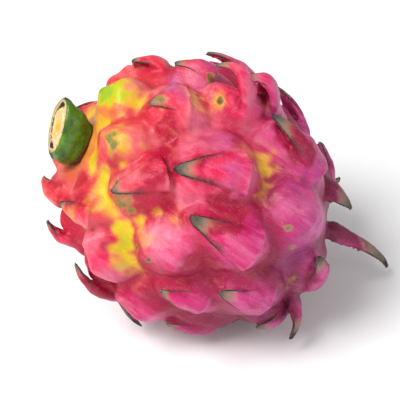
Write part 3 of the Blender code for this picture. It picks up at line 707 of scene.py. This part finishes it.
def stem_material():
    """Glossy dark green cactus stem with a horny brown rib and a torn, pale cut face."""
    make = Finish("green_stem")
    rib, flesh, core, outer = make.values("rib", "flesh", "core", "outer")
    blotches = make.noise(260.0, 4.0, 0.6)
    fine, torn = make.noise(1400.0, 3.0, 0.6), make.noise(330.0, 3.0, 0.6)
    green = make.ramp(blotches, "0.25 234406", "0.45 3A6208", "0.62 547A12", "0.85 86A02C")
    horn = make.ramp(fine, "0.30 24140C", "0.55 4E3420", "0.80 8A7048")
    colour = make.mix(green, horn, make.span(make.maths("MULTIPLY_ADD", blotches, 0.4, rib), 0.80, 1.05))
    cut = make.ramp(make.ragged(core, torn, 1.5), "0.10 D8A028", "0.28 E8C684", "0.42 D9A878",
                    "0.55 E9CC94", "0.72 E3B890", "0.88 D8C080", "1.05 B89A58")
    split = make.ragged(core, torn, 0.30)
    cut = make.coated(cut, [
        ("8A4A2A", make.span(fine, 0.52, 0.66), 0.7),
        ("DDA018", make.span(core, 0.45, 0.0), make.span(torn, 0.40, 0.60)),
        ("2E1810", outer, make.span(split, 0.66, 0.72), make.span(split, 0.90, 0.84)),
        ("8C8A48", make.span(core, 0.88, 1.0)),
    ])
    rough = make.maths("MULTIPLY_ADD", flesh, 0.45, make.span(rib, 0.5, 0.9, 0.30, 0.65))
    coarse = make.bump(blotches, 0.25, 0.0010)
    return make.finished(make.mix(colour, cut, flesh), rough, make.bump(fine, 0.35, 0.0004, coarse))


def withered_material(name, *codes):
    """Papery withered flower tissue, from its darkest colour to its palest."""
    make = Finish(name)
    streaks = make.noise(500.0, 4.0, 0.65, 0.4, make.upright_place((1.0, 1.0, 0.15)))
    colour = make.ramp(streaks, *(f"{at} {code}" for at, code in zip((0.25, 0.45, 0.62, 0.80), codes)))
    return make.finished(colour, 0.85, make.bump(streaks, 0.6, 0.0006))


# ---------------- geometry node trees
class Growth(Nodes):
    """A geometry node tree with named inputs, built from the left to the right."""

    def __init__(self, name, **inputs):
        self.tree = bpy.data.node_groups.new(name, "GeometryNodeTree")
        face = self.tree.interface
        for way in ("OUTPUT", "INPUT"):
            face.new_socket("Geometry", in_out=way, socket_type="NodeSocketGeometry")
        self.identifiers = {}
        for label, default in inputs.items():
            socket = face.new_socket(label, in_out="INPUT", socket_type="NodeSocketFloat")
            socket.default_value = default
            self.identifiers[label] = socket.identifier
        self.start = self.node("NodeGroupInput").outputs

    def finish(self, geometry, material):
        plain = self.out("GeometryNodeRealizeInstances", [("Geometry", geometry)])
        coated = self.out("GeometryNodeSetMaterial", [("Geometry", plain), ("Material", material)])
        self.node("NodeGroupOutput", [(0, coated)])
        return self

    def grown(self, item, **values):
        """The plain mesh that this tree makes of an object, which is then removed."""
        modifier = item.modifiers.new(self.tree.name, "NODES")
        modifier.node_group = self.tree
        for label, value in values.items():
            modifier[self.identifiers[label]] = value
        data = evaluated_mesh(item)
        bpy.data.objects.remove(item, do_unlink=True)
        return data


def margin_tree(material):
    """A thin uneven cord along each line, as thick as its 'thickness' value says."""
    tree = Growth("bract_margin_cords", Radius=0.00045, Wobble=0.0003)
    curve = tree.out("GeometryNodeMeshToCurve", [("Mesh", tree.start["Geometry"])])
    thickness = tree.out("GeometryNodeInputNamedAttribute", [("Name", "thickness")], data_type="FLOAT")
    radius = tree.maths("MULTIPLY", thickness, tree.start["Radius"])
    profile = tree.out("GeometryNodeCurvePrimitiveCircle", [("Resolution", 7), ("Radius", 1.0)])
    cord = tree.out("GeometryNodeCurveToMesh", [("Curve", curve), ("Profile Curve", profile),
                                                ("Scale", radius), ("Fill Caps", True)])
    jitter = tree.node("ShaderNodeTexNoise", [("Scale", 900.0), ("Detail", 2.0)], noise_dimensions="3D")
    centred = tree.out("ShaderNodeVectorMath", [(0, jitter.outputs["Color"]), (1, (0.5, 0.5, 0.5))],
                       operation="SUBTRACT")
    offset = tree.out("ShaderNodeVectorMath", [(0, centred), ("Scale", tree.start["Wobble"])],
                      operation="SCALE")
    moved = tree.out("GeometryNodeSetPosition", [("Geometry", cord), ("Offset", offset)])
    return tree.finish(tree.out("GeometryNodeSetShadeSmooth", [("Geometry", moved)]), material)


def fibre_tree(material):
    """Short bent fibres that stand on a surface."""
    tree = Growth("withered_fibres", Count=60.0, Length=0.006, Radius=0.00022)
    spread = tree.node("GeometryNodeDistributePointsOnFaces", [
        ("Mesh", tree.start["Geometry"]), ("Density", tree.start["Count"]), ("Seed", 4)]).outputs
    line = tree.out("GeometryNodeCurvePrimitiveLine", [("End", (0.0, 0.0, 1.0))])
    line = tree.out("GeometryNodeResampleCurve", [("Curve", line), ("Count", 6)])
    share = tree.out("GeometryNodeSplineParameter")
    shift = tree.out("ShaderNodeCombineXYZ", [("X", tree.maths("MULTIPLY", share, share))])
    line = tree.out("GeometryNodeSetPosition", [("Geometry", line), ("Offset", shift)])
    scale = tree.out("ShaderNodeCombineXYZ", [(axis, tree.start["Length"]) for axis in "XYZ"])
    line = tree.out("GeometryNodeTransform", [("Geometry", line), ("Scale", scale)])
    circle = tree.out("GeometryNodeCurvePrimitiveCircle",
                      [("Resolution", 5), ("Radius", tree.start["Radius"])])
    fibre = tree.out("GeometryNodeCurveToMesh",
                     [("Curve", line), ("Profile Curve", circle), ("Fill Caps", True)])
    size = tree.node("FunctionNodeRandomValue", [(2, 0.6), (3, 1.15), ("Seed", 9)],
                     data_type="FLOAT").outputs[1]
    turn = tree.out("FunctionNodeRandomValue", [(0, (-0.5, -0.5, 0.0)), (1, (0.5, 0.5, 6.28)), ("Seed", 3)],
                    data_type="FLOAT_VECTOR")
    placed = tree.out("GeometryNodeInstanceOnPoints", [
        ("Points", spread["Points"]), ("Instance", fibre), ("Rotation", spread["Rotation"]), ("Scale", size)])
    return tree.finish(tree.out("GeometryNodeRotateInstances", [("Instances", placed), ("Rotation", turn)]),
                       material)


# ---------------- the rind
def all_blades():
    """Every free blade: sections, upper side, shares across, edges, dryness of both margins,
    and how early along it the withering sets in (1 is at the tip alone)."""
    made = []
    for order, row in enumerate(BRACTS.values()):
        crest_at, tip_at, crest_height, tip_height, half_width, _, arch, *dryness = row
        if arch > 0.0:
            parts = bract_blade(crest_at, tip_at, crest_height, tip_height, half_width, arch, order * 1.7)
            made.append((*parts, (dryness[0], dryness[-1]), 1.0))
    for order, (*row, dry) in enumerate(STRAPS.values()):
        made.append((*strap_blade(*row, order * 2.3), (dry, dry), STRAP_DRYING))
    return made


def grow_rind(blades, grain):
    """Body and blades grown together into one even skin, in the upright frame."""
    shapes = Shapes()
    ball(shapes)
    for rings, *_ in blades:
        shapes.add_loft(rings)
    rough = in_scene("shapes", shapes.mesh("shapes"))
    remesh = rough.modifiers.new("skin", "REMESH")
    remesh.mode = "VOXEL"
    remesh.voxel_size = grain
    data = evaluated_mesh(rough)
    bpy.data.objects.remove(rough, do_unlink=True)
    return largest_shell(data)


def blade_values(places, blades):
    """How near each place is to a bract's tip and to its margin, from 0 to 1."""
    ends, sides, points = [], [], []
    for _, upper, share, _, dryness, late in blades:
        run = np.linspace(0.0, 1.0, len(upper))[:, None] * np.ones(len(share))
        dry = np.where(share < 0.0, dryness[0], dryness[1])
        ends.append((run ** late * (0.75 + 0.25 * max(dryness))).ravel())
        sides.append((np.abs(share)[None, :] * ramp_up(run, 0.15, 0.5) * dry).ravel())
        points.append(upper.reshape(-1, 3))
    ends, sides, points = np.concatenate(ends), np.concatenate(sides), np.vstack(points)
    tree = KDTree(len(points))
    for index, point in enumerate(points.tolist()):
        tree.insert(point, index)
    tree.balance()
    tip, rim = np.zeros(len(places)), np.zeros(len(places))
    for index, place in enumerate(places.tolist()):
        _, nearest, away = tree.find(place)
        near = max(0.0, 1.0 - max(0.0, away - BLADE_NEAR) / BLADE_FADE)
        tip[index] = ends[nearest] * near
        rim[index] = sides[nearest] * near
    return tip, rim


def finish_rind(data, blades):
    """Sharpen the valleys, roughen the skin and store the values its finish reads."""
    skin = Skin(data)
    skin.places = skin.smoothed(skin.places, 3)
    tip, rim = blade_values(skin.places, blades)
    normals = skin.normals()
    on_blade = ramp_up(tip, 0.3, 0.6)
    sharpen = np.clip(-0.9 * skin.hollow(normals), -2.2, 1.0) * (1.0 - on_blade)
    uneven = sum(unevenness(skin.places, scale, seed) * height for scale, seed, height in UNEVEN)
    worn = patches(unit(skin.places / HALF_AXES), unevenness(skin.places, 0.0030, 3), WORN)
    lift = sharpen + uneven * (1.0 - 0.6 * on_blade) - 0.5 * worn
    skin.places = skin.places + normals * (lift * MM)[:, None]
    skin.places = skin.smoothed(skin.places, 1)

    normals = skin.normals()
    directions = unit(skin.places / HALF_AXES)
    body, body_normals = on_body(directions)
    meridian = unit(np.array([0.0, 0.0, 1.0]) - body_normals * body_normals[:, 2:3])
    ragged = unevenness(skin.places, 0.0040, 5)
    latitude = np.degrees(np.arcsin(np.clip(directions[:, 2], -1.0, 1.0)))
    values = {
        "stemward": latitude / 180.0 + 0.5,
        # 'front' and 'hollow' also place the painted shade and painted light of the finish
        "front": skin.smoothed(np.sum(normals * meridian, axis=1), 3),
        "rise": np.sum((skin.places - body) * body_normals, axis=1) / (10.0 * MM),
        "hollow": skin.smoothed(skin.hollow(normals), 3),
        "tip": skin.smoothed(tip, 2),
        "rim": ramp_up(skin.smoothed(rim, 1), 0.45, 0.95),
        "worn": worn,
    }
    # patches of painted light, painted shade, violet frosting with painted sky reflection, and unripe flushes
    for name, table in (("flush", FLUSHES), ("lighter", PAINTED_LIGHT), ("deeper", CRIMSON_AND_PAINTED_SHADE), ("bloom", BLOOM_AND_SKY_REFLECTION)):
        values[name] = patches(directions, ragged, table)
    for name, numbers in values.items():
        store(data, name, numbers)
    data.transform(LYING)
    lying = read(data.vertices, "co", 3)
    lying[:, 2] = np.maximum(lying[:, 2], 0.0)
    data.vertices.foreach_set("co", lying.ravel())
    data.update()


def margin_lines(blades, rind):
    """One open line along each free margin of each blade, laid onto the rind."""
    tree = BVHTree.FromPolygons([tuple(corner.co) for corner in rind.vertices],
                                [tuple(face.vertices) for face in rind.polygons])
    corners, edges, thickness, age = [], [], [], []
    for *_, edge, dryness, _ in blades:
        first = int(len(edge) * MARGIN_START)
        run = np.linspace(0.0, 1.0, len(edge))[first:]
        for side, dry in zip((0, -1), dryness):
            start = len(corners)
            for point, share in zip(edge[first:, side], run):
                on_skin, normal, _, _ = tree.find_nearest(LYING @ Vector(point.tolist()))
                place = on_skin + normal * CORD_LIFT
                corners.append((place.x, place.y, max(place.z, CORD_LOWEST)))
                rising = min(1.0, (share - MARGIN_START) / 0.35)
                narrowing = 1.0 - 0.35 * max(0.0, share - 0.85) / 0.15
                thickness.append(dry * (0.15 + 0.85 * rising) * narrowing)
                age.append(dry * rising)
            edges += [(index, index + 1) for index in range(start, len(corners) - 1)]
    data = bpy.data.meshes.new("margin_lines")
    data.from_pydata(corners, edges, [])
    store(data, "thickness", thickness)
    store(data, "age", age)
    return in_scene("margin_lines", data)


# ---------------- stem and flower base
def outline(lifted, half_long, half_wide, squareness, slant):
    """A rounded outline across the axis at a height over the stub's foot; slant tilts it.

    The near side is flat and the far side comes to a blunt corner.
    """
    around = 2.0 * math.pi * np.arange(STUB_SIDES) / STUB_SIDES
    sine = np.sin(around)
    bulge = np.where(sine > 0.0, squareness + 0.25, squareness - 0.15)
    long = half_long * np.sign(np.cos(around)) * np.abs(np.cos(around)) ** squareness
    wide = half_wide * np.sign(sine) * np.abs(sine) ** bulge
    turn = math.radians(STUB_TURN)
    x = long * math.cos(turn) - wide * math.sin(turn)
    y = long * math.sin(turn) + wide * math.cos(turn)
    tilt = slant * (STUB_SLANT[0] * x + STUB_SLANT[1] * y)
    foot = BODY_LENGTH / 2 - STUB_SUNK
    return np.stack([STUB_AT[0] + STUB_LEAN * lifted + x, STUB_AT[1] + y, foot + lifted + tilt], axis=1)


def stem_mesh():
    """The chunk of stem as one closed loft, with values for its rib and its cut face."""
    tall, long, wide = STUB_SUNK + STUB_HEIGHT, STUB_LENGTH / 2, STUB_WIDTH / 2
    # share of the height, length, width, squareness, share of the slant
    keys = np.array([
        [0.00, 0.66, 0.70, 0.95, 0.00],
        [0.30, 0.86, 0.95, 0.90, 0.20],
        [0.60, 0.97, 1.00, 0.90, 0.60],
        [0.90, 1.00, 0.96, 0.90, 1.00],
        [0.98, 0.97, 0.91, 0.90, 1.00],
        [1.00, 0.92, 0.84, 0.92, 1.00],
    ])
    steps = np.linspace(0.0, 1.0, 26)
    rings = []
    for step in steps:
        length, width, square, slant = [np.interp(step, keys[:, 0], column) for column in keys.T[1:]]
        rings.append(outline(tall * step, long * length, wide * width, square, slant))
    _, length, width, square, slant = keys[-1]
    for share in CUT_RINGS:
        dish = 0.0007 * (1.0 - share) - 0.0004 * math.exp(-((share - 0.55) / 0.10) ** 2)
        rings.append(outline(tall - dish, long * length * share, wide * width * share, square, slant))
    shapes = Shapes()
    shapes.add_loft(np.array(rings))
    data = shapes.mesh("stem_stub")
    places = np.concatenate(rings)

    sides, cuts = len(steps), len(CUT_RINGS)
    flesh = np.repeat([0.0] * sides + [1.0] * cuts, STUB_SIDES)
    core = np.repeat([1.0] * sides + list(CUT_RINGS), STUB_SIDES)
    angles = np.tile(2.0 * math.pi * np.arange(STUB_SIDES) / STUB_SIDES, sides + cuts)
    rib = ramp_up(np.abs(np.cos(angles)), 0.94, 0.99) * (1.0 - flesh)
    collar = 1.0 - ramp_up(np.repeat([*steps, *[1.0] * cuts], STUB_SIDES), 0.18, 0.32)
    rim = ramp_up(np.repeat([*steps, *[0.0] * cuts], STUB_SIDES), 0.90, 0.98)
    outer = ramp_up(np.sin(angles), -0.35, 0.15)
    places[:, 2] -= 0.0016 * flesh * outer * np.exp(-((core - 0.78) / 0.07) ** 2)
    lumps = unevenness(places, 0.004, 11) * 0.55 + unevenness(places, 0.0015, 12) * (0.15 + 0.35 * flesh)
    lumps = lumps + rib * 0.5 * unevenness(places, 0.0012, 13)
    skin = Skin(data)
    skin.places = places + unit(places - places.mean(axis=0)) * (lumps * MM)[:, None]
    skin.write_back()
    rib = np.maximum(np.maximum(rib, rim * 0.9 * outer), collar)
    for name, values in (("flesh", flesh), ("core", core), ("rib", rib), ("outer", outer)):
        store(data, name, values)
    data.transform(LYING)
    return data


def flower_mesh():
    """The withered tube in the navel, with a torn mouth and a folded wall."""
    root = -(BODY_LENGTH / 2 - NAVEL_DEPTH) + FLOWER_SUNK
    radius = FLOWER_BASE_DIAMETER / 2
    angles = 2.0 * math.pi * np.arange(FLOWER_SIDES) / FLOWER_SIDES
    folds = 0.07 * np.sin(9.0 * angles) + 0.05 * np.sin(17.0 * angles + 1.3)
    torn = 0.5 * np.sin(5.0 * angles + 0.6) + 0.3 * np.sin(13.0 * angles) + 0.2 * np.sin(23.0 * angles + 2.0)
    rings = []
    # outer wall down to the mouth, then back up inside it: share of the length, size, tear
    for share, size, tear in ((0.0, 0.78, 0.0), (0.25, 0.88, 0.0), (0.5, 1.0, 0.0), (0.75, 1.12, 0.4),
                              (0.94, 1.24, 1.0), (0.97, 1.16, 1.0), (0.75, 0.98, 0.5), (0.5, 0.84, 0.1),
                              (0.35, 0.5, 0.0), (0.32, 0.1, 0.0)):
        depth = root - FLOWER_BASE_LENGTH * share * (1.0 - 0.10 * tear * (1.0 + torn))
        reach = radius * size * (1.0 + folds * share)
        rings.append(np.stack([reach * np.cos(angles), reach * np.sin(angles) * 0.92, depth], axis=1))
    shapes = Shapes()
    shapes.add_loft(np.array(rings)[::-1])
    data = shapes.mesh("flower_base")
    skin = Skin(data)
    sideways = unit(skin.places * np.array([1.0, 1.0, 0.0]) + 1e-9)
    skin.places = skin.places + (unevenness(skin.places, 0.003, 21) * 0.35 * MM)[:, None] * sideways
    skin.write_back()
    data.transform(LYING)
    return data


# ---------------- settings
def number(name, description, default, low=None, high=None, **kind):
    """One setting of the panel, with its limits."""
    limits = {} if low is None else {"min": low, "max": high}
    return FloatProperty(name=name, description=description, default=default, **limits, **kind)


FINE = {"unit": "LENGTH", "precision": 5}
ANGLE = {"unit": "ROTATION"}


class RindSettings(PropertyGroup):
    """Sizes and finish of the rind and its bracts."""

    grain: number("Skin Grain", "Size of the faces that the rind is meshed with",
                  0.0008, 0.0006, 0.003, **FINE)
    roughness: number("Roughness", "How dull the rind is", 0.44, 0.0, 1.0, subtype="FACTOR")
    wax: number("Wax", "Strength of the waxy coat", 0.08, 0.0, 1.0, subtype="FACTOR")
    margin_radius: number("Margin Radius", "Half the thickness of the dried margins",
                          0.00042, 0.0001, 0.002, **FINE)
    margin_wobble: number("Margin Wobble", "Unevenness of the dried margins", 0.0004, 0.0, 0.002, **FINE)


class FlowerSettings(PropertyGroup):
    """Sizes of the withered flower base."""

    fibre_count: number("Fibre Density", "Fibres on each square metre of the base", 120000.0, 0.0, 500000.0)
    fibre_length: number("Fibre Length", "Length of the longest fibres", 0.0030, 0.0005, 0.02, **FINE)
    fibre_radius: number("Fibre Radius", "Half the thickness of a fibre", 0.00014, 0.00005, 0.001, **FINE)


class StudioSettings(PropertyGroup):
    """Plain studio round the fruit."""

    floor_colour: FloatVectorProperty(name="Floor", description="Colour of the floor", subtype="COLOR",
                                      size=3, default=(0.88, 0.88, 0.88), min=0.0, max=1.0)
    floor_side: number("Floor Side", "Side of the square floor", 8.0, 1.0, 50.0, unit="LENGTH")
    key_power: number("Key Power", "Power of the main lamp", 28.0, 0.0, 500.0, unit="POWER")
    fill_power: number("Fill Power", "Power of the filling lamp", 10.0, 0.0, 500.0, unit="POWER")
    sky: number("Surroundings", "Brightness of the pale surroundings", 0.42, 0.0, 5.0)
    camera_azimuth: number("Camera Azimuth", "Turn of the camera round the fruit", math.radians(2.1), **ANGLE)
    camera_elevation: number("Camera Elevation", "Height of the camera above the floor",
                             math.radians(38.8), **ANGLE)
    camera_distance: number("Camera Distance", "Camera to the middle of the fruit",
                            0.5255, 0.1, 10.0, unit="LENGTH")
    lens: number("Lens", "Focal length in millimetres", 114.5, 10.0, 500.0)


# ---------------- operators
class DRAGONFRUIT_OT_rind(Operator):
    """Grow the rind with its bracts and lay it on its resting spot"""

    bl_idname = "dragonfruit.rind"
    bl_label = "Grow Rind"

    def execute(self, context):
        settings = context.scene.dragonfruit_rind
        blades = all_blades()
        data = grow_rind(blades, settings.grain)
        if len(data.vertices) < 1000:
            raise RuntimeError("the rind did not grow together")
        finish_rind(data, blades)
        piece = new_piece("rind", data, rind_material(settings))
        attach(piece, "root")
        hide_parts("dragon_fruit")
        return {"FINISHED"}


class DRAGONFRUIT_OT_margins(Operator):
    """Lay the dried margins along the free edges of the bracts"""

    bl_idname = "dragonfruit.margins"
    bl_label = "Add Dried Margins"

    def execute(self, context):
        settings = context.scene.dragonfruit_rind
        rind = bpy.data.objects.get("rind")
        if rind is None:
            raise RuntimeError("grow the rind first")
        material = margin_material()
        lines = margin_lines(all_blades(), rind.data)
        tree = margin_tree(material)
        data = tree.grown(lines, Radius=settings.margin_radius, Wobble=settings.margin_wobble)
        piece = new_piece("bract_margins", data, material)
        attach(piece, "root")
        return {"FINISHED"}


class DRAGONFRUIT_OT_stem(Operator):
    """Make the chunk of cactus stem with its cut face"""

    bl_idname = "dragonfruit.stem"
    bl_label = "Add Stem"

    def execute(self, context):
        piece = new_piece("stem_chunk", stem_mesh(), stem_material())
        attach(piece, "root")
        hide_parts("stem_stub")
        return {"FINISHED"}


class DRAGONFRUIT_OT_flower(Operator):
    """Make the withered flower base and its fibres in the navel"""

    bl_idname = "dragonfruit.flower"
    bl_label = "Add Flower Base"

    def execute(self, context):
        settings = context.scene.dragonfruit_flower
        tube = new_piece("flower_tube", flower_mesh(),
                         withered_material("withered_flower", "4A3220", "8A6A44", "B89A6C", "D8C8A0"))
        fibre = withered_material("withered_fibre", "2E1C12", "5A3E26", "8A6A48", "B09872")
        seat = in_scene("fibre_seat", tube.data.copy())
        data = fibre_tree(fibre).grown(seat, Count=settings.fibre_count, Length=settings.fibre_length,
                                       Radius=settings.fibre_radius)
        fibres = new_piece("flower_fibres", data, fibre)
        for piece in (tube, fibres):
            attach(piece, "root")
        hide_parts("flower_base")
        return {"FINISHED"}


class DRAGONFRUIT_OT_studio(Operator):
    """Set the pale floor, the soft lamps and the camera"""

    bl_idname = "dragonfruit.studio"
    bl_label = "Set Studio"

    def execute(self, context):
        settings = context.scene.dragonfruit_studio
        scene = context.scene
        half = settings.floor_side / 2.0
        data = bpy.data.meshes.new("floor")
        data.from_pydata([(-half, -half, 0.0), (half, -half, 0.0), (half, half, 0.0), (-half, half, 0.0)], [],
                         [(0, 1, 2, 3)])
        make = Finish("pale_floor")
        make.surface["Base Color"].default_value = (*settings.floor_colour, 1.0)
        make.surface["Roughness"].default_value = 0.9
        make.surface["Specular IOR Level"].default_value = 0.1
        data.materials.append(make.material)
        floor = in_scene("floor", data)
        floor.location.z = -FLOOR_DROP

        world = bpy.data.worlds.new("pale_surroundings")
        world.use_nodes = True
        background = world.node_tree.nodes["Background"].inputs
        background["Color"].default_value = (1.0, 1.0, 1.0, 1.0)
        background["Strength"].default_value = settings.sky
        scene.world = world

        middle = LYING.translation
        for name, offset, side, power in LAMPS:
            light = bpy.data.lights.new(name, "AREA")
            light.size = side
            light.energy = getattr(settings, power)
            self.aim(in_scene(name, light), middle, Vector(offset), 1.0)

        azimuth, elevation = settings.camera_azimuth, settings.camera_elevation
        back = Vector((math.sin(azimuth) * math.cos(elevation), -math.cos(azimuth) * math.cos(elevation),
                       math.sin(elevation)))
        lens = bpy.data.cameras.new("camera")
        lens.lens = settings.lens
        lens.sensor_width = SENSOR_WIDTH
        lens.clip_start = 0.01
        camera = in_scene("camera", lens)
        self.aim(camera, middle, back, settings.camera_distance)
        scene.camera = camera
        scene.view_settings.view_transform = "Standard"
        return {"FINISHED"}

    def aim(self, item, target, way, distance):
        """Place a lamp or camera some way from its target and let it look at that."""
        item.location = target + way * distance
        item.rotation_euler = (-way).to_track_quat("-Z", "Y").to_euler()


class DRAGONFRUIT_PT_panel(Panel):
    """Buttons and settings of the dragon fruit"""

    bl_idname = "DRAGONFRUIT_PT_panel"
    bl_label = "Dragon Fruit"
    bl_space_type = "VIEW_3D"
    bl_region_type = "UI"
    bl_category = "Dragon Fruit"

    def draw(self, context):
        layout = self.layout
        for title, settings, operators in GROUPS:
            box = layout.box()
            box.label(text=title)
            group = getattr(context.scene, settings, None) if settings else None
            if group is not None:
                for name in group.__annotations__:
                    box.prop(group, name)
            for operator in operators:
                box.operator(operator.bl_idname)


GROUPS = (
    ("Rind", "dragonfruit_rind", (DRAGONFRUIT_OT_rind, DRAGONFRUIT_OT_margins)),
    ("Stem", "", (DRAGONFRUIT_OT_stem,)),
    ("Flower Base", "dragonfruit_flower", (DRAGONFRUIT_OT_flower,)),
    ("Studio", "dragonfruit_studio", (DRAGONFRUIT_OT_studio,)),
)
SETTINGS = {
    "dragonfruit_rind": RindSettings,
    "dragonfruit_flower": FlowerSettings,
    "dragonfruit_studio": StudioSettings,
}
CLASSES = (*SETTINGS.values(), *(item for _, _, items in GROUPS for item in items), DRAGONFRUIT_PT_panel)


def register():
    for item in CLASSES:
        bpy.utils.register_class(item)
    for name, kind in SETTINGS.items():
        setattr(bpy.types.Scene, name, PointerProperty(type=kind))


def unregister():
    for name in SETTINGS:
        delattr(bpy.types.Scene, name)
    for item in reversed(CLASSES):
        bpy.utils.unregister_class(item)


def main():
    register()
    bpy.ops.dragonfruit.rind()
    bpy.ops.dragonfruit.margins()
    bpy.ops.dragonfruit.stem()
    bpy.ops.dragonfruit.flower()
    bpy.ops.dragonfruit.studio()


if __name__ == "__main__":
    main()
